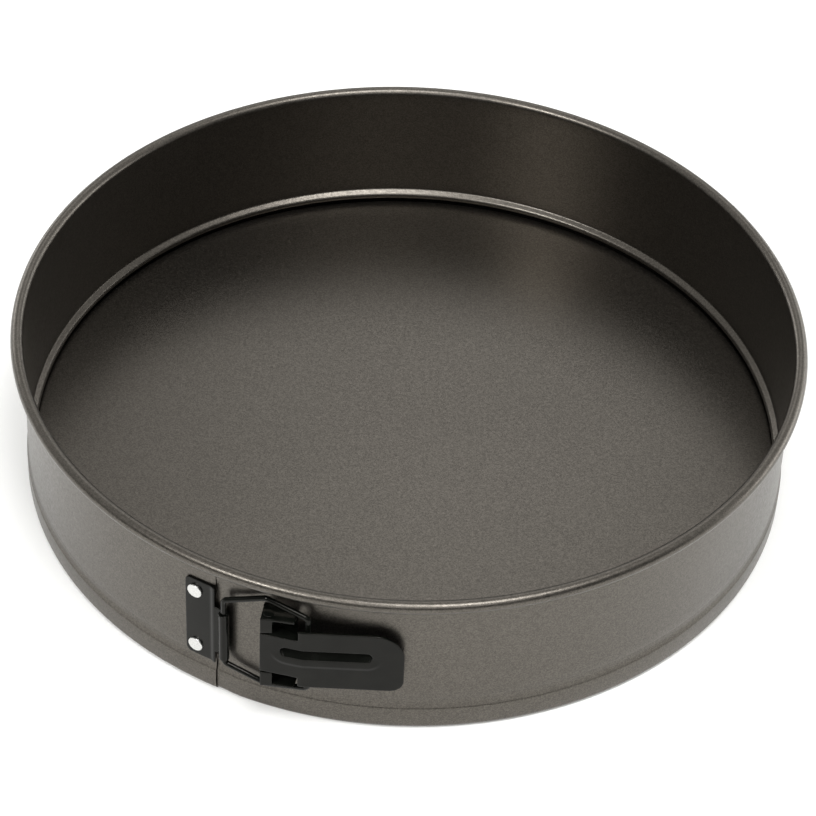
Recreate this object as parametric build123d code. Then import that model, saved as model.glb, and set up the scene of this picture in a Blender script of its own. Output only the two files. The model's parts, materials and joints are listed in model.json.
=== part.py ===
from build123d import *
import os
from math import asin, atan2, cos, degrees, hypot, radians, sin, sqrt, tan

# Springform pan: a spring-steel band with an over-centre latch, closed round a loose base disc.
# Millimetres. The pan's axis is Z, the band stands on z = 0, and the closed lever lies along X
# at the front (-Y). An azimuth is counted from -Y towards +X.

# --- band -------------------------------------------------------------------------------------
INNER_RADIUS = 150.0        # nominal 30 cm pan, inside the wall
HEIGHT = 68.0               # floor to the top of the rolled rim
SHEET = 0.6                 # steel sheet of the band and the base
RIM_DIAMETER = 5.0          # rolled rim, outside
RIM_TURN = 300.0            # how far the rim is rolled, degrees
BULGE = 0.7                 # how far the band below the bead stands out from the wall
BEAD_DEPTH = 2.5            # how far the bead stands into the pan
BEAD_CREST_Z = 12.9         # height of the bead's crest
UNDER_TURN = 75.0           # bead's underside: how far it leans, degrees
UNDER_BENDS = (1.0, 1.6)    # and its two bends, centre line
OVER_TURN = 60.0            # bead's upper side
OVER_BENDS = (1.4, 1.4)
FOOT_RADIUS = 2.2           # bend between the band and its bottom lip, centre line
LIP_WIDTH = 3.3             # flat part of the bottom lip

# --- seam -------------------------------------------------------------------------------------
END_GAP = 0.3               # between the two halves' end faces
TONGUE_LENGTH = 8.0         # inner end that runs on behind the outer one
TONGUE_GAP = 0.9            # between the tongue and the outer end's inner face
TONGUE_ROOT = 3.0           # where the tongue is joined to its own half
TONGUE_END_GAP = 1.2        # between the tongue and the bead below it or the rim above it

# --- base -------------------------------------------------------------------------------------
BASE_BELOW_CREST = 3.0      # base's top, below the bead's crest
BASE_EDGE_INSET = 1.1       # base's edge inside the wall
BASE_BEND = 1.2             # bend at the edge, centre line
BASE_SEAT_GAP = 0.35        # between the base's skirt and the lip

# --- latch: places across the front, and how far they stand off the wall ------------------------
HOOK_X = -62.3              # bail's left side, in the catch's curl
PIVOT_X = -45.6             # lever's pivot pin
PIVOT_STANDOFF = 4.65
BAIL_END_X = -31.2          # bail's right side, behind the lever
LEVER_STANDOFF = 3.7        # lever's front, from the wall's foremost point
LATCH_BELOW = 2.19          # latch's mid height, below the wall's
RIVET_SHANK = 3.0
SHANK_CLEARANCE = 0.03

# --- catch plate ------------------------------------------------------------------------------
CATCH_SHEET = 0.8
CATCH_LEFT = 12.8           # plate's left end, from the seam
CATCH_TOP_GAP = 8.7         # plate's top, below the rim
CATCH_FOOT = 0.63           # plate's bottom, below the wall's lower end
CATCH_CORNER = 2.5
CURL_TURN = 285.0
CURL_TOP_GAP = 7.0          # curl's top, below the bail's bend
SEAM_TO_HOOK = 4.45         # curl's place beyond the seam
JOGGLE_BEND = 3.0           # double bend that lifts the plate's free edge off the other half
JOGGLE_TURN = 25.0
HOOK_CLEARANCE = 0.08
CATCH_RIVET_LEFT = 8.3      # rivets, from the seam
CATCH_RIVET_EDGE = 5.5      # and from the plate's ends
RIVET_HEAD = 6.0
RIVET_HEAD_HEIGHT = 0.9
RIVET_TAIL = 4.2
RIVET_TAIL_HEIGHT = 0.35
RIVET_TAIL_GAP = 0.02       # flat tail, inside the curved wall

# --- bail: heights of its three stations, beyond the bracket's arms -----------------------------
WIRE = 2.2
BAIL_HOOK_UP = -2.8
BAIL_HOOK_DOWN = 0.7
BAIL_WAIST = 5.0
BAIL_WAIST_SHARE = 0.5      # waist's place between the two ends
BAIL_END_UP = 1.0
BAIL_END_DOWN = 0.5
BAIL_BEND = 2.2
BAIL_RIB_GAP = 0.5          # between the bail's right side and the lever's rib

# --- bracket ----------------------------------------------------------------------------------
BRACKET_SHEET = 1.0
BRACKET_ROOM = 6.22         # wall left free above and below the bracket
BRACKET_LEFT = 1.9          # plate's left end, from the pin
BRACKET_SET_BACK = 0.3      # plate's right end, from the ears' right edge
ARM_NOSE = 1.0              # arms' right corner, in front of the tabs and in from the plate's end
BRACKET_RIVET_IN = 4.4      # rivets, from the plate's right end
BRACKET_RIVET_EDGE = 5.1    # and from its ends
BRACKET_RIVET_HEAD = 4.4
BRACKET_RIVET_HEAD_HEIGHT = 0.8
TAB_LEFT = 2.9              # tabs' left edge, from the pin
TAB_WIDTH = 4.4
TAB_FRONT = 2.9             # tabs' front, from the pin
TAB_GAP = 0.7               # between a tab and the lever's face
PIN_RADIUS = 1.2
PIN_HEAD_RADIUS = 1.9
PIN_HEAD_HEIGHT = 0.6
PIN_CLEARANCE = 0.05

# --- lever ------------------------------------------------------------------------------------
LEVER_SHEET = 1.0
LEVER_LENGTH = 52.3
LEVER_LEFT = 3.1            # lever's left end, from the pin
FACE_FRONT = 2.6            # face's front at its left end, from the pin
FACE_RUN = 15.55            # face's length up to the bend; it leans back towards the band
LEVER_BEND = 8.0            # bend radius, centre line
HANDLE_HALF = 14.0
FACE_HALF = 9.6
TIP_TOP_RADIUS = 11.0
TIP_BOTTOM_RADIUS = 5.0
EAR_GAP = 2.5               # between the ears' right edge and the bail's right side
EAR_BACK = 2.0              # ears' right corner, in front of the pin
EAR_LUG_RADIUS = 2.7
EAR_LUG_TURN = 65.0         # where the ear's back edge meets the lug
RIB_LEFT = 7.6              # embossed rib, from the lever's left end
RIB_RIGHT = 11.7            # and from its tip
RIB_WIDTH = 4.4
RIB_DEPTH = 0.7
RIB_UP = 2.6                # rib's centre line above the lever's mid height

THROUGH = 60.0              # longer than any wall or gap that a cut passes

# --- worked out: band -------------------------------------------------------------------------
OUTER_RADIUS = INNER_RADIUS + SHEET
WALL = INNER_RADIUS + SHEET / 2
BULGE_LINE = WALL + BULGE
RIM_LINE_RADIUS = (RIM_DIAMETER - SHEET) / 2
RIM_CENTRE_Z = HEIGHT - RIM_DIAMETER / 2
GAP_ANGLE = degrees(END_GAP / INNER_RADIUS)
BASE_TOP_Z = BEAD_CREST_Z - BASE_BELOW_CREST


def slope(step, turn, bends):
    """Straight run and whole rise of a double bend that shifts a sheet sideways by a step."""
    angle = radians(turn)
    run = (step - sum(bends) * (1 - cos(angle))) / sin(angle)
    rise = sum(bends) * sin(angle) + run * cos(angle)
    return run, rise


def wall_azimuth(x, radius):
    """Azimuth of the point of a circle round the pan's axis that has this x."""
    return degrees(asin(x / radius))


# --- worked out: latch ------------------------------------------------------------------------
WALL_BOTTOM_Z = BEAD_CREST_Z + slope(BEAD_DEPTH, OVER_TURN, OVER_BENDS)[1]
WALL_TOP_Z = HEIGHT - RIM_DIAMETER
LATCH_Z = (WALL_BOTTOM_Z + WALL_TOP_Z) / 2 - LATCH_BELOW
PIVOT_Y = -sqrt((OUTER_RADIUS + PIVOT_STANDOFF) ** 2 - PIVOT_X ** 2)

HOOK_BEND = WIRE / 2 + HOOK_CLEARANCE + CATCH_SHEET / 2
LIFTED_LINE = OUTER_RADIUS + CATCH_SHEET / 2 + 2 * JOGGLE_BEND * (1 - cos(radians(JOGGLE_TURN)))
HOOK_AZ = wall_azimuth(HOOK_X, LIFTED_LINE + HOOK_BEND)
SEAM_AZ = HOOK_AZ - degrees(SEAM_TO_HOOK / INNER_RADIUS)
CATCH_LEFT_AZ = SEAM_AZ - degrees(CATCH_LEFT / INNER_RADIUS)
CATCH_RIVET_AZ = SEAM_AZ - degrees(CATCH_RIVET_LEFT / INNER_RADIUS)
CATCH_LOW = WALL_BOTTOM_Z - CATCH_FOOT
CATCH_HIGH = WALL_TOP_Z - CATCH_TOP_GAP

EAR_RIGHT_X = BAIL_END_X - WIRE / 2 - EAR_GAP
BRACKET_RIGHT_X = EAR_RIGHT_X - BRACKET_SET_BACK
BRACKET_LEFT_AZ = wall_azimuth(PIVOT_X - BRACKET_LEFT, OUTER_RADIUS)
BRACKET_RIGHT_AZ = wall_azimuth(BRACKET_RIGHT_X, OUTER_RADIUS)
BRACKET_RIVET_AZ = wall_azimuth(BRACKET_RIGHT_X - BRACKET_RIVET_IN, OUTER_RADIUS)
BRACKET_HALF = (WALL_TOP_Z - WALL_BOTTOM_Z) / 2 - BRACKET_ROOM

LEVER_LEFT_X = PIVOT_X - LEVER_LEFT
LEVER_TIP_X = LEVER_LEFT_X + LEVER_LENGTH
LEVER_FRONT_Y = -(OUTER_RADIUS + LEVER_STANDOFF)
LEVER_DROP = PIVOT_Y - FACE_FRONT - LEVER_FRONT_Y
LEVER_LEAN = degrees(atan2(LEVER_DROP, FACE_RUN))
BAIL_END_Y = LEVER_FRONT_Y + LEVER_SHEET + RIB_DEPTH + BAIL_RIB_GAP + WIRE / 2


def strip(start, heading, steps, thickness):
    """Section of a bent sheet: its centre line runs straight ("run", length)
    or round a bend ("bend", radius, angle), where a positive angle turns left."""
    x, y = start
    sides = {1: [], -1: []}
    half = thickness / 2

    def side_point(side):
        turned = radians(heading + 90)
        return (x + side * half * cos(turned), y + side * half * sin(turned))

    for step in steps:
        before = {side: side_point(side) for side in sides}
        if step[0] == "run":
            x += step[1] * cos(radians(heading))
            y += step[1] * sin(radians(heading))
            for side in sides:
                sides[side].append(Line(before[side], side_point(side)))
            continue
        radius, angle = step[1:]
        turn = 1 if angle > 0 else -1
        towards = radians(heading + 90 * turn)
        centre = (x + radius * cos(towards), y + radius * sin(towards))
        for side in sides:
            side_radius = radius - side * turn * half
            first = heading - 90 * turn
            sides[side].append(
                CenterArc(centre, side_radius, first, angle)
            )
        heading += angle
        away = radians(heading - 90 * turn)
        x = centre[0] + radius * cos(away)
        y = centre[1] + radius * sin(away)
    closing = Line(sides[1][-1] @ 1, sides[-1][-1] @ 1)
    opening = Line(sides[1][0] @ 0, sides[-1][0] @ 0)
    return make_face([*sides[1], *sides[-1], closing, opening])


def section_plane(section):
    """A section drawn as (radius, height), stood up for a turn about the pan's axis."""
    return Plane.XZ * section


def ring_sector(section, from_az, to_az):
    """A section turned about the pan's axis from one azimuth to another."""
    turned = revolve(section_plane(section), Axis.Z, to_az - from_az)
    return Rot(0, 0, from_az - 90) * turned


def around(radius, az):
    return (radius * sin(radians(az)), -radius * cos(radians(az)))


def band_section():
    """Lip, foot bend, bulged band round the base, bead, wall and rolled rim."""
    under_run, under_rise = slope(BEAD_DEPTH + BULGE, UNDER_TURN, UNDER_BENDS)
    over_run = slope(BEAD_DEPTH, OVER_TURN, OVER_BENDS)[0]
    foot_top = SHEET / 2 + FOOT_RADIUS
    steps = [
        ("run", LIP_WIDTH),
        ("bend", FOOT_RADIUS, 90),
        ("run", BEAD_CREST_Z - under_rise - foot_top),
        ("bend", UNDER_BENDS[0], UNDER_TURN),
        ("run", under_run),
        ("bend", UNDER_BENDS[1], -UNDER_TURN),
        ("bend", OVER_BENDS[0], -OVER_TURN),
        ("run", over_run),
        ("bend", OVER_BENDS[1], OVER_TURN),
        ("run", RIM_CENTRE_Z - WALL_BOTTOM_Z),
        ("bend", RIM_LINE_RADIUS, -RIM_TURN),
    ]
    return strip((BULGE_LINE - FOOT_RADIUS - LIP_WIDTH, SHEET / 2), 0, steps, SHEET)


def base_section():
    """Flat base with its edge turned down to stand on the band's lip."""
    skirt_line = INNER_RADIUS - BASE_EDGE_INSET - SHEET / 2
    mid_z = BASE_TOP_Z - SHEET / 2
    skirt = mid_z - BASE_BEND - SHEET - BASE_SEAT_GAP
    return strip(
        (0, mid_z), 0,
        [("run", skirt_line - BASE_BEND), ("bend", BASE_BEND, -90), ("run", skirt)],
        SHEET,
    )


def radial_plane(radius, az, z):
    """Plane square to the wall, facing outwards, at a radius, an azimuth and a height."""
    x, y = around(radius, az)
    out = around(1, az)
    return Plane(origin=(x, y, z), x_dir=(-out[1], out[0], 0), z_dir=(out[0], out[1], 0))


def post(plane, radius, low, high):
    """Cylinder on a plane's normal, from one distance to another."""
    bottom = plane.offset(low)
    return extrude(bottom * Circle(radius), high - low)


def rivet(az, z, stack, head_diameter, head_height):
    """Tail inside the pan, shank through the wall and the fitting, low domed head outside."""
    seat = radial_plane(INNER_RADIUS, az, z)
    rise = head_height / 3
    tail_face = -RIVET_TAIL_GAP
    tail = post(seat, RIVET_TAIL / 2, tail_face - RIVET_TAIL_HEIGHT, tail_face)
    shank = post(seat, RIVET_SHANK / 2, tail_face, stack)
    head = post(seat, head_diameter / 2, stack, stack + head_height)
    crown = head.faces().sort_by_distance(seat.offset(stack + head_height).origin)[0]
    head = fillet(crown.edges(), rise)
    return tail + shank + head


def rivet_hole(az, z):
    seat = radial_plane(INNER_RADIUS, az, z)
    return post(seat, RIVET_SHANK / 2 + SHANK_CLEARANCE, -SHEET, 4 * SHEET)


def catch_rivet_heights():
    return [CATCH_LOW + CATCH_RIVET_EDGE, CATCH_HIGH - CATCH_RIVET_EDGE]


def bracket_rivet_heights():
    offset = BRACKET_HALF - BRACKET_RIVET_EDGE
    return [LATCH_Z - offset, LATCH_Z + offset]


def tongue():
    """Inner end of the band: it steps in behind the seam and runs on inside the outer end."""
    low = WALL_BOTTOM_Z + TONGUE_END_GAP
    high = WALL_TOP_Z - TONGUE_END_GAP
    outside = INNER_RADIUS - TONGUE_GAP
    height = high - low
    middle = (low + high) / 2
    sheet = Pos(outside - SHEET / 2, middle) * Rectangle(SHEET, height)
    step = Pos(INNER_RADIUS - TONGUE_GAP / 2, middle) * Rectangle(TONGUE_GAP, height)
    root_az = SEAM_AZ + degrees(TONGUE_ROOT / INNER_RADIUS)
    end_az = SEAM_AZ - degrees(TONGUE_LENGTH / INNER_RADIUS)
    step_az = SEAM_AZ + GAP_ANGLE
    return ring_sector(sheet, end_az, root_az) + ring_sector(step, step_az, root_az)


def band_left():
    """Half of the band that carries the catch; its end is the outer one at the seam."""
    half = ring_sector(band_section(), SEAM_AZ - 180 + GAP_ANGLE / 2, SEAM_AZ - GAP_ANGLE / 2)
    for z in catch_rivet_heights():
        half -= rivet_hole(CATCH_RIVET_AZ, z)
    return half


def band_right():
    """Half of the band that carries the lever; its end has the tongue."""
    half = ring_sector(band_section(), SEAM_AZ + GAP_ANGLE / 2, SEAM_AZ + 180 - GAP_ANGLE / 2)
    half += tongue()
    for z in bracket_rivet_heights():
        half -= rivet_hole(BRACKET_RIVET_AZ, z)
    return half


def base_disc():
    return revolve(section_plane(base_section()), Axis.Z, 360)


def hook_point():
    return around(LIFTED_LINE + HOOK_BEND, HOOK_AZ)


def catch_plate():
    """Plate on the band's outer end; from the seam on, its middle is curled round the bail."""
    line = OUTER_RADIUS + CATCH_SHEET / 2
    joggle_span = degrees(2 * JOGGLE_BEND * sin(radians(JOGGLE_TURN)) / line)
    joggle_az = SEAM_AZ - joggle_span
    start = around(line, CATCH_LEFT_AZ)
    plate_steps = [
        ("bend", line, joggle_az - CATCH_LEFT_AZ),
        ("bend", JOGGLE_BEND, -JOGGLE_TURN),
        ("bend", JOGGLE_BEND, JOGGLE_TURN + joggle_span),
    ]
    plate_section = strip(start, CATCH_LEFT_AZ, plate_steps, CATCH_SHEET)
    curl_steps = [
        ("bend", LIFTED_LINE, HOOK_AZ - SEAM_AZ),
        ("bend", HOOK_BEND, -CURL_TURN),
    ]
    curl_section = strip(around(LIFTED_LINE, SEAM_AZ), SEAM_AZ, curl_steps, CATCH_SHEET)
    plate = extrude(Pos(0, 0, CATCH_LOW) * plate_section, CATCH_HIGH - CATCH_LOW)
    corners = plate.edges().filter_by(lambda e: abs(e.length - CATCH_SHEET) < SHEET / 10)
    corners = corners.sort_by_distance((*start, (CATCH_LOW + CATCH_HIGH) / 2))[:2]
    plate = fillet(corners, CATCH_CORNER)
    curl_low = LATCH_Z - BRACKET_HALF - BAIL_HOOK_DOWN + BAIL_BEND
    curl_high = LATCH_Z + BRACKET_HALF + BAIL_HOOK_UP - CURL_TOP_GAP
    plate += extrude(Pos(0, 0, curl_low) * curl_section, curl_high - curl_low)
    for z in catch_rivet_heights():
        plate -= rivet_hole(CATCH_RIVET_AZ, z)
    return plate


def bail():
    """Closed wire ring: narrow in the hook, widest at its waist, round the lever behind."""
    hook_x, hook_y = hook_point()
    share = BAIL_WAIST_SHARE
    waist_x = hook_x + share * (BAIL_END_X - hook_x)
    waist_y = hook_y + share * (BAIL_END_Y - hook_y)
    arms_low = LATCH_Z - BRACKET_HALF
    arms_high = LATCH_Z + BRACKET_HALF
    corners = [
        (hook_x, hook_y, arms_low - BAIL_HOOK_DOWN),
        (hook_x, hook_y, arms_high + BAIL_HOOK_UP),
        (waist_x, waist_y, arms_high + BAIL_WAIST),
        (BAIL_END_X, BAIL_END_Y, arms_high + BAIL_END_UP),
        (BAIL_END_X, BAIL_END_Y, arms_low - BAIL_END_DOWN),
        (waist_x, waist_y, arms_low - BAIL_WAIST),
    ]
    path = FilletPolyline(*corners, radius=BAIL_BEND, close=True)
    section = Plane(origin=path @ 0, z_dir=path % 0) * Circle(WIRE / 2)
    return sweep(section, path=path)


def bracket():
    """Plate riveted to the band, with an arm above and below the lever that holds the pin."""
    middle = OUTER_RADIUS + BRACKET_SHEET / 2
    plate_section = Pos(middle, LATCH_Z) * Rectangle(BRACKET_SHEET, 2 * BRACKET_HALF)
    body = ring_sector(plate_section, BRACKET_LEFT_AZ, BRACKET_RIGHT_AZ)
    tab_left_x = PIVOT_X - TAB_LEFT
    tab_front_y = PIVOT_Y - TAB_FRONT
    outline = Polyline(
        around(OUTER_RADIUS, BRACKET_LEFT_AZ),
        (tab_left_x, tab_front_y),
        (tab_left_x + TAB_WIDTH, tab_front_y),
        (BRACKET_RIGHT_X - ARM_NOSE, tab_front_y - ARM_NOSE),
        around(OUTER_RADIUS, BRACKET_RIGHT_AZ),
        close=True,
    )
    tab_height = BRACKET_HALF - FACE_HALF - TAB_GAP
    tab = Box(TAB_WIDTH, BRACKET_SHEET, tab_height)
    for side in (1, -1):
        arm_z = LATCH_Z + side * (BRACKET_HALF - BRACKET_SHEET / 2)
        tab_z = LATCH_Z + side * (BRACKET_HALF - tab_height / 2)
        body += extrude(Pos(0, 0, arm_z - BRACKET_SHEET / 2) * make_face(outline), BRACKET_SHEET)
        body += Pos(tab_left_x + TAB_WIDTH / 2, tab_front_y + BRACKET_SHEET / 2, tab_z) * tab
    body -= Pos(0, 0, LATCH_Z) * Cylinder(OUTER_RADIUS, THROUGH)
    body -= Pos(PIVOT_X, PIVOT_Y, LATCH_Z) * Cylinder(PIN_RADIUS + SHANK_CLEARANCE, THROUGH)
    for z in bracket_rivet_heights():
        body -= rivet_hole(BRACKET_RIVET_AZ, z)
    return body


def pivot_pin():
    """Pin through the bracket's arms and the lever's ears, peened over at both ends."""
    pin = Cylinder(PIN_RADIUS, 2 * BRACKET_HALF)
    head = Cylinder(PIN_HEAD_RADIUS, PIN_HEAD_HEIGHT)
    for side in (1, -1):
        pin += Pos(0, 0, side * (BRACKET_HALF + PIN_HEAD_HEIGHT / 2)) * head
    return Pos(PIVOT_X, PIVOT_Y, LATCH_Z) * pin


def lever_sheet(depth):
    """Lever's sheet seen from above, set back by a depth: the leaning face, then the handle."""
    lean = radians(LEVER_LEAN)
    tangent = LEVER_BEND * tan(lean / 2)
    back = LEVER_SHEET / 2 + depth
    start = (
        LEVER_LEFT_X + back * sin(lean),
        LEVER_FRONT_Y + LEVER_DROP + back * cos(lean),
    )
    inner_bend = LEVER_BEND - back
    steps = [
        ("run", hypot(FACE_RUN, LEVER_DROP) - tangent),
        ("bend", inner_bend, LEVER_LEAN),
        ("run", LEVER_LENGTH - FACE_RUN - tangent),
    ]
    return strip(start, -LEVER_LEAN, steps, LEVER_SHEET)


def rib_block(grow):
    """Upright slot through the lever's sheet, at the embossed rib's place."""
    length = LEVER_LENGTH - RIB_LEFT - RIB_RIGHT
    slot = SlotOverall(length + 2 * grow, RIB_WIDTH + 2 * grow)
    centre = Pos(LEVER_LEFT_X + RIB_LEFT + length / 2, LATCH_Z + RIB_UP)
    in_front = Plane.XZ.offset(-LEVER_FRONT_Y + LEVER_SHEET)
    return extrude(in_front * centre * slot, -THROUGH / 4)


def lever_tip_corner(sheet, index):
    """Edge through the sheet's thickness at the tip: 0 is the lower one, -1 the upper."""
    edges = sheet.edges().filter_by(Axis.Y).group_by(Axis.X)[-1]
    return edges.sort_by(Axis.Z)[index]


def lever():
    """Stamped lever: a face between two ears on the pin, and a handle that lies on the band."""
    low = Pos(0, 0, LATCH_Z - HANDLE_HALF)
    sheet = extrude(low * lever_sheet(0), 2 * HANDLE_HALF)
    sheet = fillet(lever_tip_corner(sheet, -1), TIP_TOP_RADIUS)
    sheet = fillet(lever_tip_corner(sheet, 0), TIP_BOTTOM_RADIUS)
    window = Box(THROUGH, THROUGH, THROUGH)
    for side in (1, -1):
        window_z = LATCH_Z + side * (FACE_HALF + THROUGH / 2)
        sheet -= Pos(EAR_RIGHT_X - THROUGH / 2, LEVER_FRONT_Y, window_z) * window
    set_back = extrude(low * lever_sheet(RIB_DEPTH), 2 * HANDLE_HALF)
    body = sheet - rib_block(0) + (set_back & rib_block(RIB_DEPTH))
    lug_turn = radians(EAR_LUG_TURN)
    face_back = LEVER_FRONT_Y + LEVER_SHEET
    outline = Polyline(
        (LEVER_LEFT_X + LEVER_SHEET / 2, face_back + LEVER_DROP),
        (EAR_RIGHT_X, face_back),
        (EAR_RIGHT_X, PIVOT_Y - EAR_BACK),
        (PIVOT_X + EAR_LUG_RADIUS * cos(lug_turn), PIVOT_Y + EAR_LUG_RADIUS * sin(lug_turn)),
        (PIVOT_X - EAR_LUG_RADIUS, PIVOT_Y),
        close=True,
    )
    ear = make_face(outline) + Pos(PIVOT_X, PIVOT_Y) * Circle(EAR_LUG_RADIUS)
    for side in (1, -1):
        ear_z = LATCH_Z + side * (FACE_HALF - LEVER_SHEET / 2) - LEVER_SHEET / 2
        body += extrude(Pos(0, 0, ear_z) * ear, LEVER_SHEET)
    body -= Pos(PIVOT_X, PIVOT_Y, LATCH_Z) * Cylinder(PIN_RADIUS + PIN_CLEARANCE, THROUGH)
    return body


def catch_rivet(z):
    return rivet(CATCH_RIVET_AZ, z, SHEET + CATCH_SHEET, RIVET_HEAD, RIVET_HEAD_HEIGHT)


def bracket_rivet(z):
    stack = SHEET + BRACKET_SHEET
    return rivet(BRACKET_RIVET_AZ, z, stack, BRACKET_RIVET_HEAD, BRACKET_RIVET_HEAD_HEIGHT)


def main():
    os.makedirs("parts", exist_ok=True)
    nodes = {
        "band_left": band_left(),
        "band_right": band_right(),
        "base_disc": base_disc(),
        "catch_plate": catch_plate(),
        "bail": bail(),
        "bracket": bracket(),
        "pivot_pin": pivot_pin(),
        "lever": lever(),
    }
    for place, catch_z, bracket_z in zip(
        ("lower", "upper"), catch_rivet_heights(), bracket_rivet_heights()
    ):
        nodes[f"catch_rivet_{place}"] = catch_rivet(catch_z)
        nodes[f"bracket_rivet_{place}"] = bracket_rivet(bracket_z)
    for name, shape in nodes.items():
        export_step(shape, f"parts/{name}.step")


main()
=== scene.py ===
import json
import math
import bpy
import bmesh
from mathutils import Matrix, Vector

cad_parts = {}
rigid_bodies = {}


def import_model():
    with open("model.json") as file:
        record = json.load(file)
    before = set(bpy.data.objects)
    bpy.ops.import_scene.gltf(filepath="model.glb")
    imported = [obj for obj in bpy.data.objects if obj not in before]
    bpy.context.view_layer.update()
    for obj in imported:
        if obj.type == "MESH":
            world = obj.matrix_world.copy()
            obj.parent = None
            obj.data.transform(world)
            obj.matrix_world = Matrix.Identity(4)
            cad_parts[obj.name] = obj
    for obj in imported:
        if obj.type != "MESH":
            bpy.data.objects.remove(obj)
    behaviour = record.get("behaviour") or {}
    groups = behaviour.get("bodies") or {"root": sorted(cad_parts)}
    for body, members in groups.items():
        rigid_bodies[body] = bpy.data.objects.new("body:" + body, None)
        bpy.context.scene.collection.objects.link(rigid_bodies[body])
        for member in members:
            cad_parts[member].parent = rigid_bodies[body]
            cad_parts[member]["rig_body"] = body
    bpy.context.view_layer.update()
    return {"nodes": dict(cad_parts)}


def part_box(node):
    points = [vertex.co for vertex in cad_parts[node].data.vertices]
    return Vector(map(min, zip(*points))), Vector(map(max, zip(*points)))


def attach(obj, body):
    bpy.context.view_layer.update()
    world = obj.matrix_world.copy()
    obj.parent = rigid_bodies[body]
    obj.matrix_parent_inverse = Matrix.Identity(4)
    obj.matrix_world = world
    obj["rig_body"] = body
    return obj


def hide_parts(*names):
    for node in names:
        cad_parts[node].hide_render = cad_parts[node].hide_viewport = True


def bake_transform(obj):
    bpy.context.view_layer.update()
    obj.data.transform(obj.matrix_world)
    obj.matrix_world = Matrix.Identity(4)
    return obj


# Springform pan. Metres; the pan's axis is Z and it stands on z = 0. An azimuth is counted from
# the front (-Y) towards +X, in degrees.

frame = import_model()
MM = 0.001

# --- band and base: the same section as the CAD model -------------------------------------------
INNER_RADIUS = 150.0 * MM
SHEET = 0.6 * MM
OUTER_RADIUS = INNER_RADIUS + SHEET
WALL = INNER_RADIUS + SHEET / 2
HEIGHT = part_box("band_right")[1].z
RIM_DIAMETER = 5.0 * MM
RIM_TURN = 300.0
BULGE = 0.7 * MM
BEAD_DEPTH = 2.5 * MM
BEAD_CREST_Z = 12.9 * MM
UNDER_TURN, UNDER_BENDS = 75.0, (1.0 * MM, 1.6 * MM)
OVER_TURN, OVER_BENDS = 60.0, (1.4 * MM, 1.4 * MM)
STEP_DEPTH = 0.08 * MM      # recess that the bead leaves outside
STEP_LOW_Z = 9.5 * MM
STEP_TOP_Z = 13.2 * MM      # where the ramp above the bulge ends
STEP_HIGH_Z = 18.0 * MM
FOOT_RADIUS = 2.2 * MM
LIP_WIDTH = 3.3 * MM
BASE_BELOW_CREST = 3.0 * MM
BASE_EDGE_INSET = 1.1 * MM
BASE_BEND = 1.2 * MM
BASE_SEAT_GAP = 0.35 * MM
BASE_HUB_RADIUS = INNER_RADIUS / 50     # centre of the base, closed with one face on each side

SEAM_AZ = -25.704474        # where the band's ends meet
SEAM_GAP = 0.24 * MM
SEAM_GAP_AZ = math.degrees(SEAM_GAP / INNER_RADIUS)
RIM_CLOSING = 0.8           # share of the gap that is closed at the rim
NEST_DEPTH = 0.66 * MM      # how far the inner end lies behind the outer one
NEST_RUN = 11.0 * MM        # over which it gets there
NEST_TOP_Z = 61.5 * MM      # at the rim both ends are in line
NEST_FULL_Z = 50.0 * MM
TONGUE_LENGTH = 8.0 * MM
TONGUE_ROOT = TONGUE_LENGTH / 6     # how far it starts inside the band's inner end
TONGUE_INSET = SHEET / 20   # of its middle behind the inner end's
TONGUE_HALF = SHEET / 2.2   # half its thickness, a little less than the sheet's
TONGUE_LOW_Z = 18.2 * MM
TONGUE_HIGH_Z = 60.5 * MM

AZ_STEP = 0.75              # of the band's and the base's mesh, degrees
ARC_STEP = 12.0             # of a bend in a section, degrees
RUN_STEP = 4 * MM           # of a straight run in a section
WHOLE_TURN = 359.999        # degrees; a piece turned this far has no ends
SHARP_ANGLE = 35.0          # degrees; flatter edges are shaded smooth
NEAR = MM / 100             # tolerance for picking vertices by their place
BACK_AZ = SEAM_AZ + 180     # where the band flexes as it opens
FLEX_AZ = 12.0              # how far short of it the band's lever-side piece ends and its catch-side piece starts

RIM_LINE_RADIUS = (RIM_DIAMETER - SHEET) / 2
RIM_CENTRE_Z = HEIGHT - RIM_DIAMETER / 2


def around(radius, az, z=0.0):
    a = math.radians(az)
    return Vector((radius * math.sin(a), -radius * math.cos(a), z))


def slope(step, turn, bends):
    """Straight run and whole rise of a double bend that shifts a sheet sideways by a step."""
    angle = math.radians(turn)
    run = (step - sum(bends) * (1 - math.cos(angle))) / math.sin(angle)
    return run, sum(bends) * math.sin(angle) + run * math.cos(angle)


def smooth_share(value, low, high):
    share = min(1.0, max(0.0, (value - low) / (high - low)))
    return share * share * (3 - 2 * share)


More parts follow.
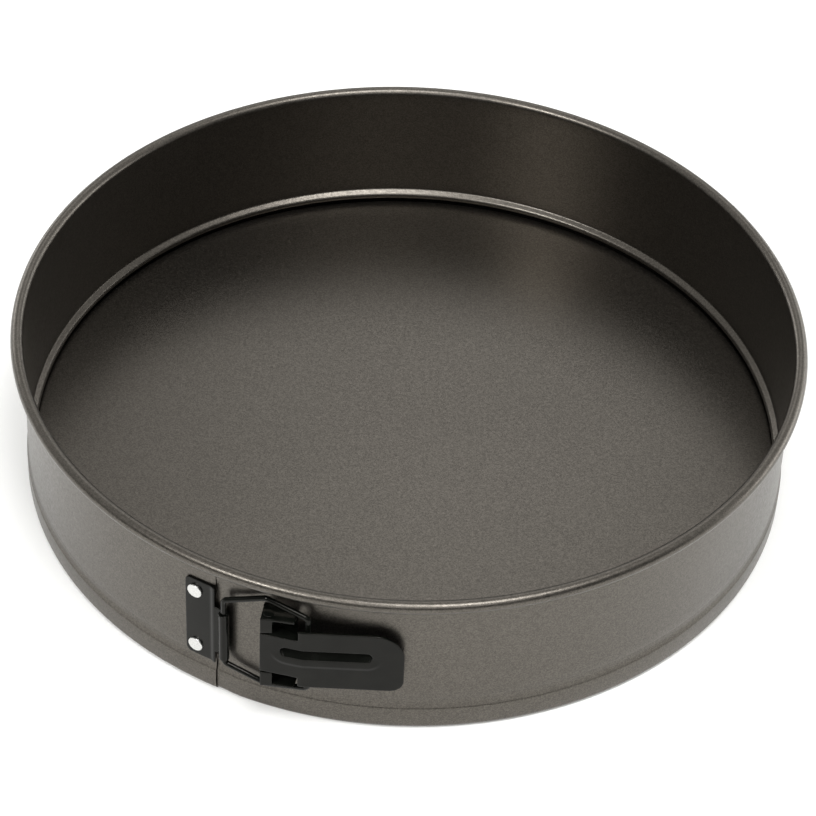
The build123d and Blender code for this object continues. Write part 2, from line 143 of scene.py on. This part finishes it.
def sheet_outline(start, heading, steps, thickness):
    """Closed outline of a bent sheet's section: runs of ("run", length) and bends of
    ("bend", radius, angle) along its centre line, where a positive angle turns left."""
    x, z = start
    sides = ([], [])

    def put(at_x, at_z, facing):
        turned = math.radians(facing + 90)
        for side, points in zip((1, -1), sides):
            offset = side * thickness / 2
            points.append((at_x + offset * math.cos(turned), at_z + offset * math.sin(turned)))

    put(x, z, heading)
    for step in steps:
        if step[0] == "run":
            pieces = max(1, round(step[1] / RUN_STEP))
            for i in range(pieces):
                x += step[1] / pieces * math.cos(math.radians(heading))
                z += step[1] / pieces * math.sin(math.radians(heading))
                put(x, z, heading)
            continue
        radius, angle = step[1:]
        turn = 1 if angle > 0 else -1
        pieces = max(2, round(abs(angle) / ARC_STEP))
        towards = math.radians(heading + 90 * turn)
        centre = (x + radius * math.cos(towards), z + radius * math.sin(towards))
        for i in range(pieces):
            heading += angle / pieces
            away = math.radians(heading - 90 * turn)
            x = centre[0] + radius * math.cos(away)
            z = centre[1] + radius * math.sin(away)
            put(x, z, heading)
    return sides[0] + sides[1][::-1]


def shallow_outside(outline):
    """The bead shows outside only as a faint step: its recess is filled to a low ramp."""
    half = len(outline) // 2
    shaped = outline[:half]
    for radius, z in outline[half:]:
        if STEP_LOW_Z < z < STEP_HIGH_Z:
            ramp = BULGE * (1 - smooth_share(z, STEP_LOW_Z, STEP_TOP_Z))
            radius = max(radius, OUTER_RADIUS + ramp - STEP_DEPTH)
        shaped.append((radius, z))
    return shaped


def band_outline():
    under_run, under_rise = slope(BEAD_DEPTH + BULGE, UNDER_TURN, UNDER_BENDS)
    over_run, over_rise = slope(BEAD_DEPTH, OVER_TURN, OVER_BENDS)
    foot_top = SHEET / 2 + FOOT_RADIUS
    steps = [
        ("run", LIP_WIDTH),
        ("bend", FOOT_RADIUS, 90),
        ("run", BEAD_CREST_Z - under_rise - foot_top),
        ("bend", UNDER_BENDS[0], UNDER_TURN),
        ("run", under_run),
        ("bend", UNDER_BENDS[1], -UNDER_TURN),
        ("bend", OVER_BENDS[0], -OVER_TURN),
        ("run", over_run),
        ("bend", OVER_BENDS[1], OVER_TURN),
        ("run", RIM_CENTRE_Z - BEAD_CREST_Z - over_rise),
        ("bend", RIM_LINE_RADIUS, -RIM_TURN),
    ]
    start = (WALL + BULGE - FOOT_RADIUS - LIP_WIDTH, SHEET / 2)
    return shallow_outside(sheet_outline(start, 0, steps, SHEET))


def base_outline():
    line = INNER_RADIUS - BASE_EDGE_INSET - SHEET / 2
    mid_z = BEAD_CREST_Z - BASE_BELOW_CREST - SHEET / 2
    skirt = mid_z - BASE_BEND - SHEET - BASE_SEAT_GAP
    top = line - BASE_BEND - BASE_HUB_RADIUS
    steps = [("run", top), ("bend", BASE_BEND, -90), ("run", skirt)]
    return sheet_outline((BASE_HUB_RADIUS, mid_z), 0, steps, SHEET)


def closed_at_rim(az, z):
    """The band's ends all but touch in the rolled rim, and stand a little apart below it."""
    offset = (az - SEAM_AZ + 180) % 360 - 180
    if z < NEST_TOP_Z or abs(offset) > SEAM_GAP_AZ:
        return az
    return az - offset * RIM_CLOSING


def add_turned(bm, outline, from_az, to_az, inset=None):
    """Turns a closed outline about the pan's axis, with closed ends unless it goes all round."""
    whole = abs(to_az - from_az) >= WHOLE_TURN
    count = max(4, round(abs(to_az - from_az) / AZ_STEP))
    rings = []
    for i in range(count if whole else count + 1):
        az = from_az + (to_az - from_az) * i / count
        ring = []
        for radius, z in outline:
            shift = inset(az, z) if inset else 0.0
            ring.append(bm.verts.new(around(radius - shift, closed_at_rim(az, z), z)))
        rings.append(ring)
    size = len(outline)
    pairs = [(i, (i + 1) % len(rings)) for i in range(count)]
    for a, b in pairs:
        for k in range(size):
            n = (k + 1) % size
            bm.faces.new((rings[a][k], rings[a][n], rings[b][n], rings[b][k]))
    if not whole:
        half = size // 2
        for ring in (rings[0], rings[-1]):
            for k in range(half - 1):
                bm.faces.new((ring[k], ring[k + 1], ring[size - 2 - k], ring[size - 1 - k]))


def mesh_piece(name, bm, material):
    bmesh.ops.recalc_face_normals(bm, faces=bm.faces)
    mesh = bpy.data.meshes.new(name)
    bm.to_mesh(mesh)
    bm.free()
    mesh.polygons.foreach_set("use_smooth", [True] * len(mesh.polygons))
    mesh.set_sharp_from_angle(angle=math.radians(SHARP_ANGLE))
    piece = bpy.data.objects.new(name, mesh)
    bpy.context.scene.collection.objects.link(piece)
    mesh.materials.append(material)
    return piece


def nest(az, z):
    """How far the band's inner end has stepped in behind the outer one."""
    along = math.radians(az - SEAM_AZ) * INNER_RADIUS
    beside_seam = 1 - smooth_share(along, 0, NEST_RUN)
    below_rim = 1 - smooth_share(z, NEST_FULL_Z, NEST_TOP_Z)
    return NEST_DEPTH * beside_seam * below_rim


# --- materials ----------------------------------------------------------------------------------
# two linear colours each: the darker and the lighter parts of the surface
COATING = ((0.069, 0.0625, 0.054), (0.150, 0.136, 0.118))
ENAMEL = ((0.002, 0.0025, 0.002), (0.005, 0.0055, 0.0045))
RIVET = ((0.62, 0.62, 0.60), (0.74, 0.74, 0.72))

FLECK_SHARE = 0.75          # the coating's colour: metallic fleck against broad clouds
WAVE_SHARE = 1.2            # the coating's relief: broad waves against orange peel
RANGE_SOCKETS = ("From Min", "From Max", "To Min", "To Max")
NOISE_LOW, NOISE_HIGH = 0.3, 0.7    # the range that a noise texture mostly stays in
DUST_LOW = 0.35             # the same, with the enamel's low end left out


class Nodes:
    """Shorthand for building a material's node tree. Texture scales are per metre."""

    def __init__(self, name):
        self.material = bpy.data.materials.new(name)
        self.material.use_nodes = True
        self.tree = self.material.node_tree
        self.shader = self.tree.nodes["Principled BSDF"]
        self.place = self.add("ShaderNodeTexCoord").outputs["Object"]

    def add(self, kind, **settings):
        node = self.tree.nodes.new(kind)
        for key, value in settings.items():
            if key in node.inputs:
                node.inputs[key].default_value = value
            else:
                setattr(node, key, value)
        return node

    def link(self, a, b):
        self.tree.links.new(a, b)

    def noise(self, scale, detail):
        node = self.add("ShaderNodeTexNoise", Scale=scale, Detail=detail)
        self.link(self.place, node.inputs["Vector"])
        return node.outputs["Fac"]

    def cells(self, scale):
        node = self.add("ShaderNodeTexVoronoi", Scale=scale)
        self.link(self.place, node.inputs["Vector"])
        return node.outputs["Color"]

    def ramp(self, value, low, high, start, end):
        """Maps a value from the range start to end onto the range low to high."""
        node = self.add("ShaderNodeMapRange")
        self.link(value, node.inputs["Value"])
        for key, number in zip(RANGE_SOCKETS, (start, end, low, high)):
            node.inputs[key].default_value = number
        return node.outputs["Result"]

    def math(self, operation, a, b):
        node = self.add("ShaderNodeMath", operation=operation)
        for socket, value in zip(node.inputs, (a, b)):
            if isinstance(value, (int, float)):
                socket.default_value = value
            else:
                self.link(value, socket)
        return node.outputs[0]

    def mix(self, share, a, b):
        node = self.add("ShaderNodeMix", data_type="RGBA")
        self.link(share, node.inputs["Factor"])
        node.inputs[6].default_value = (*a, 1)
        node.inputs[7].default_value = (*b, 1)
        return node.outputs[2]

    def bump(self, height, strength, distance):
        node = self.add("ShaderNodeBump", Strength=strength, Distance=distance)
        self.link(height, node.inputs["Height"])
        self.link(node.outputs["Normal"], self.shader.inputs["Normal"])

    def set(self, **values):
        for key, value in values.items():
            self.shader.inputs[key.replace("_", " ")].default_value = value


def coated_sheet():
    """Dark warm-grey non-stick coating: a metallic fleck over a fine orange peel."""
    m = Nodes("coated_sheet")
    fleck = m.add("ShaderNodeSeparateColor")
    m.link(m.cells(2600.0), fleck.inputs["Color"])
    bright = m.math("MULTIPLY", fleck.outputs["Red"], FLECK_SHARE)
    cloud = m.math("MULTIPLY", m.noise(9.0, 3.0), 1 - FLECK_SHARE)
    m.link(m.mix(m.math("ADD", bright, cloud), *COATING), m.shader.inputs["Base Color"])
    rough = m.ramp(m.noise(700.0, 2.0), 0.31, 0.41, NOISE_LOW, NOISE_HIGH)
    m.link(rough, m.shader.inputs["Roughness"])
    peel = m.noise(1500.0, 2.0)
    waves = m.math("MULTIPLY", m.noise(60.0, 1.0), WAVE_SHARE)
    m.bump(m.math("ADD", peel, waves), 0.35, 0.08 * MM)
    m.set(Metallic=1.0, Coat_Weight=0.15, Coat_Roughness=0.3)
    return m.material


def black_enamel(name, rough_low, rough_high):
    """Glossy black enamel, with the faint waviness and dust of a dipped part."""
    m = Nodes(name)
    share = m.ramp(m.noise(160.0, 3.0), 0.0, 1.0, DUST_LOW, NOISE_HIGH)
    m.link(m.mix(share, *ENAMEL), m.shader.inputs["Base Color"])
    rough = m.ramp(m.noise(420.0, 2.0), rough_low, rough_high, DUST_LOW, NOISE_HIGH)
    m.link(rough, m.shader.inputs["Roughness"])
    m.bump(m.noise(240.0, 1.5), 0.12, 0.12 * MM)
    m.set(Specular_IOR_Level=0.17, Specular_Tint=(1.0, 0.95, 0.89, 1))
    return m.material


def rivet_metal():
    """Bright aluminium, turned and lightly scuffed."""
    m = Nodes("rivet_metal")
    m.link(m.mix(m.noise(900.0, 4.0), *RIVET), m.shader.inputs["Base Color"])
    rough = m.ramp(m.noise(1800.0, 3.0), 0.22, 0.42, NOISE_LOW, NOISE_HIGH)
    m.link(rough, m.shader.inputs["Roughness"])
    m.bump(m.noise(2500.0, 2.0), 0.2, 0.02 * MM)
    m.set(Metallic=1.0)
    return m.material


sheet_material = coated_sheet()
latch_material = black_enamel("latch_black", 0.11, 0.19)
wire_material = black_enamel("wire_black", 0.08, 0.14)
rivet_material = rivet_metal()


# --- band and base ------------------------------------------------------------------------------
def band():
    gap_az = SEAM_GAP_AZ / 2
    tongue_end = SEAM_AZ - math.degrees(TONGUE_LENGTH / INNER_RADIUS)
    tongue_root = SEAM_AZ + math.degrees(TONGUE_ROOT / INNER_RADIUS)
    outline = band_outline()

    bm = bmesh.new()
    add_turned(bm, outline, SEAM_AZ + gap_az, BACK_AZ - FLEX_AZ, nest)
    middle = WALL - NEST_DEPTH - TONGUE_INSET
    tongue = [
        (middle - TONGUE_HALF, TONGUE_LOW_Z),
        (middle - TONGUE_HALF, TONGUE_HIGH_Z),
        (middle + TONGUE_HALF, TONGUE_HIGH_Z),
        (middle + TONGUE_HALF, TONGUE_LOW_Z),
    ]
    add_turned(bm, tongue, tongue_end, tongue_root)
    fixed = mesh_piece("band_lever_side", bm, sheet_material)
    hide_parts("band_right")
    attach(fixed, "pan")

    bm = bmesh.new()
    add_turned(bm, outline, BACK_AZ - FLEX_AZ, SEAM_AZ + 360 - gap_az)
    sprung = mesh_piece("band_catch_side", bm, sheet_material)
    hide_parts("band_left")
    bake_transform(sprung)


def base():
    bm = bmesh.new()
    add_turned(bm, base_outline(), 0, 360)
    low_z = BEAD_CREST_Z - BASE_BELOW_CREST - SHEET
    hub = [v for v in bm.verts if math.hypot(v.co.x, v.co.y) < BASE_HUB_RADIUS + NEAR]
    for level in (low_z, low_z + SHEET):
        ring = [v for v in hub if abs(v.co.z - level) < NEAR]
        ring.sort(key=lambda v: math.atan2(v.co.y, v.co.x))
        bm.faces.new(ring)
    hub = set(hub)
    hole_wall = [f for f in bm.faces if len(f.verts) == 4 and hub.issuperset(f.verts)]
    bmesh.ops.delete(bm, geom=hole_wall, context="FACES_ONLY")
    plate = mesh_piece("base_plate", bm, sheet_material)
    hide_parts("base_disc")
    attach(plate, "pan")


# --- latch --------------------------------------------------------------------------------------
# Each piece is a dense, smoothed copy of its CAD node, so its stamped edges are slightly round.
WELD_DISTANCE = MM / 1000
SMOOTH_FACTOR = 0.5
LATCH_PIECES = (
    # piece, CAD node, slot, material, voxel, smoothing steps
    ("catch", "catch_plate", "latch_black", latch_material, 0.20 * MM, 6),
    ("latch_bracket", "bracket", "latch_black", latch_material, 0.20 * MM, 6),
    ("latch_lever", "lever", "latch_black", latch_material, 0.22 * MM, 6),
    ("bail_wire", "bail", "wire_black", wire_material, 0.22 * MM, 4),
    ("hinge_pin", "pivot_pin", "wire_black", wire_material, 0.14 * MM, 4),
    ("catch_rivet_head_lower", "catch_rivet_lower", "rivet_metal", rivet_material, 0.12 * MM, 4),
    ("catch_rivet_head_upper", "catch_rivet_upper", "rivet_metal", rivet_material, 0.12 * MM, 4),
    ("bracket_rivet_head_lower", "bracket_rivet_lower", "latch_black", latch_material, 0.12 * MM, 4),
    ("bracket_rivet_head_upper", "bracket_rivet_upper", "latch_black", latch_material, 0.12 * MM, 4),
)

# The lever's groove, pressed in: steep under its upper edge, then sloping out to its lower one.
GROOVE_LEFT, GROOVE_RIGHT = 7.6 * MM, 11.7 * MM     # from the lever's ends
GROOVE_UP = 2.6 * MM        # above its mid height
GROOVE_HALF = 2.2 * MM
GROOVE_CAD_DEPTH = 0.7 * MM
GROOVE_DEPTH = 1.85 * MM    # behind the lever's front, above the slope
GROOVE_SLOPE = 2.7 * MM     # height of the slope up from the lower edge
GROOVE_EDGE = 0.30 * MM     # width of the rounded edge
GROOVE_BACK = 0.36 * MM     # how far the back may move towards the bail
PAD_RISE = 0.22 * MM        # of the metal pushed up round the groove's lower side
PAD_FROM, PAD_TO = 4.9 * MM, 6.6 * MM               # from the groove's centre line
LEVER_SHEET = 1.0 * MM
FACE_RUN = 15.55 * MM       # lever's leaning face, from its left end
FACE_DROP = 3.302 * MM      # how far back its left end lies


def evaluated_copy(source):
    graph = bpy.context.evaluated_depsgraph_get()
    return bpy.data.meshes.new_from_object(source.evaluated_get(graph))


def softened(name, node, slot_name, material, voxel, steps):
    """Piece that stands for a CAD node: its mesh remade from small even faces and smoothed."""
    source = frame["nodes"][node]
    piece = bpy.data.objects.new(name, source.data.copy())
    bpy.context.scene.collection.objects.link(piece)
    weld = piece.modifiers.new("weld", "WELD")
    weld.merge_threshold = WELD_DISTANCE
    remesh = piece.modifiers.new("even", "REMESH")
    remesh.mode = "VOXEL"
    remesh.voxel_size = voxel
    remesh.use_smooth_shade = True
    smooth = piece.modifiers.new("round", "SMOOTH")
    smooth.factor = SMOOTH_FACTOR
    smooth.iterations = steps
    mesh = evaluated_copy(piece)
    piece.modifiers.clear()
    piece.data = mesh
    mesh.materials.clear()
    mesh.materials.append(material)
    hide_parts(node)
    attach(piece, source["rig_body"])
    return piece


def deepen_groove(piece):
    """Presses the groove's front in and moves its back a little, along the lever's face."""
    low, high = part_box("lever")
    centre_z = (low.z + high.z) / 2 + GROOVE_UP
    left = low.x + GROOVE_LEFT + GROOVE_HALF
    right = high.x - GROOVE_RIGHT - GROOVE_HALF
    for v in piece.data.vertices:
        x, y, z = v.co
        nearest = min(right, max(left, x))
        distance = math.hypot(x - nearest, z - centre_z)
        if distance > PAD_TO:
            continue
        lean = max(0.0, 1 - (x - low.x) / FACE_RUN) * FACE_DROP
        behind = y - low.y - lean
        if distance > GROOVE_HALF + GROOVE_EDGE:
            if behind < LEVER_SHEET / 2:
                rise = smooth_share(centre_z - z, 0, PAD_FROM)
                v.co.y -= PAD_RISE * rise * (1 - smooth_share(distance, PAD_FROM, PAD_TO))
            continue
        inside = 1 - smooth_share(distance, GROOVE_HALF - GROOVE_EDGE, GROOVE_HALF + GROOVE_EDGE)
        if behind < GROOVE_CAD_DEPTH * inside + LEVER_SHEET / 2:
            fall = min(1.0, max(0.0, (z - centre_z + GROOVE_HALF) / GROOVE_SLOPE))
            v.co.y = low.y + lean + inside * GROOVE_DEPTH * fall
        elif behind < GROOVE_CAD_DEPTH + 2 * LEVER_SHEET:
            v.co.y += inside * GROOVE_BACK


def latch():
    pieces = {row[1]: softened(*row) for row in LATCH_PIECES}
    deepen_groove(pieces["lever"])


band()
base()
latch()

# --- stage, light and camera --------------------------------------------------------------------
FLOOR_HALF = 6.0
FLOOR_COLOUR = (0.80, 0.80, 0.79, 1)
FLOOR_GLOW = (1.0, 1.0, 0.975, 1)
FLOOR_GLOW_STRENGTH = 0.20  # lifts the floor to the photo's white
SKY_COLOUR = (1.0, 1.0, 0.985, 1)


def stage():
    bm = bmesh.new()
    bmesh.ops.create_grid(bm, x_segments=1, y_segments=1, size=FLOOR_HALF)
    mesh = bpy.data.meshes.new("floor")
    bm.to_mesh(mesh)
    bm.free()
    floor = bpy.data.objects.new("floor", mesh)
    bpy.context.scene.collection.objects.link(floor)
    m = Nodes("floor")
    m.set(Base_Color=FLOOR_COLOUR, Roughness=0.9)
    m.set(Emission_Color=FLOOR_GLOW, Emission_Strength=FLOOR_GLOW_STRENGTH)
    mesh.materials.append(m.material)


def sky():
    """Even light from behind the pan that falls off towards the front."""
    world = bpy.data.worlds.new("studio")
    bpy.context.scene.world = world
    world.use_nodes = True
    tree = world.node_tree
    background = tree.nodes["Background"]
    background.inputs["Color"].default_value = SKY_COLOUR
    direction = tree.nodes.new("ShaderNodeTexCoord").outputs["Generated"]
    parts = tree.nodes.new("ShaderNodeSeparateXYZ")
    tree.links.new(direction, parts.inputs["Vector"])
    share = tree.nodes.new("ShaderNodeMapRange")
    share.interpolation_type = "SMOOTHSTEP"
    for key, number in zip(RANGE_SOCKETS, SKY_RANGE):
        share.inputs[key].default_value = number
    tree.links.new(parts.outputs["Y"], share.inputs["Value"])
    tree.links.new(share.outputs["Result"], background.inputs["Strength"])


def soft_light(name, az, elevation, distance, width, height, power):
    """Area light that faces the pan, at an azimuth and an elevation."""
    data = bpy.data.lights.new(name, "AREA")
    data.energy = power
    data.shape = "RECTANGLE"
    data.size = width
    data.size_y = height
    lamp = bpy.data.objects.new(name, data)
    rise = math.radians(elevation)
    lamp.location = around(distance * math.cos(rise), az, distance * math.sin(rise))
    lamp.rotation_euler = (-lamp.location).to_track_quat("-Z", "Y").to_euler()
    bpy.context.scene.collection.objects.link(lamp)


# direction's Y where the sky starts to brighten and where it is brightest, and its strengths
SKY_RANGE = (-0.5, 0.3, 0.12, 0.62)
LIGHTS = (
    # name, azimuth, elevation, distance, width, height, watts
    ("key", -41.8, 46.6, 3.7, 0.6, 0.6, 62.0),
    ("overhead", 30.0, 71.0, 3.0, 1.1, 1.1, 56.0),
    ("front", 8.0, 42.0, 2.6, 1.4, 0.7, 9.0),
    ("right", 108.0, 12.0, 1.5, 0.9, 0.5, 5.0),
    ("back_left", -140.0, 17.0, 2.0, 0.9, 0.5, 5.0),
    ("back_right", 140.0, 17.0, 2.0, 0.9, 0.5, 4.0),
    ("back_sky", 177.5, 43.5, 1.86, 0.6, 0.9, 1.9),
)


def lights():
    sky()
    for row in LIGHTS:
        soft_light(*row)


# fitted to the photo; angles in degrees, lens and sensor in millimetres
CAMERA_PLACE = (0.0, -0.888196, 0.829183)
CAMERA_HEADING = 0.0425     # to the right of +Y
CAMERA_DOWN = 42.27
CAMERA_ROLL = 2.70
LENS = 132.35
SENSOR = 36.0


def camera():
    data = bpy.data.cameras.new("camera")
    data.lens = LENS
    data.sensor_width = SENSOR
    camera_object = bpy.data.objects.new("camera", data)
    turn = Matrix.Rotation(math.radians(-CAMERA_HEADING), 4, "Z")
    tilt = Matrix.Rotation(math.radians(90 - CAMERA_DOWN), 4, "X")
    roll = Matrix.Rotation(math.radians(CAMERA_ROLL), 4, "Z")
    camera_object.matrix_world = Matrix.Translation(CAMERA_PLACE) @ turn @ tilt @ roll
    bpy.context.scene.collection.objects.link(camera_object)
    bpy.context.scene.camera = camera_object


stage()
lights()
camera()
bpy.context.scene.view_settings.view_transform = "Standard"
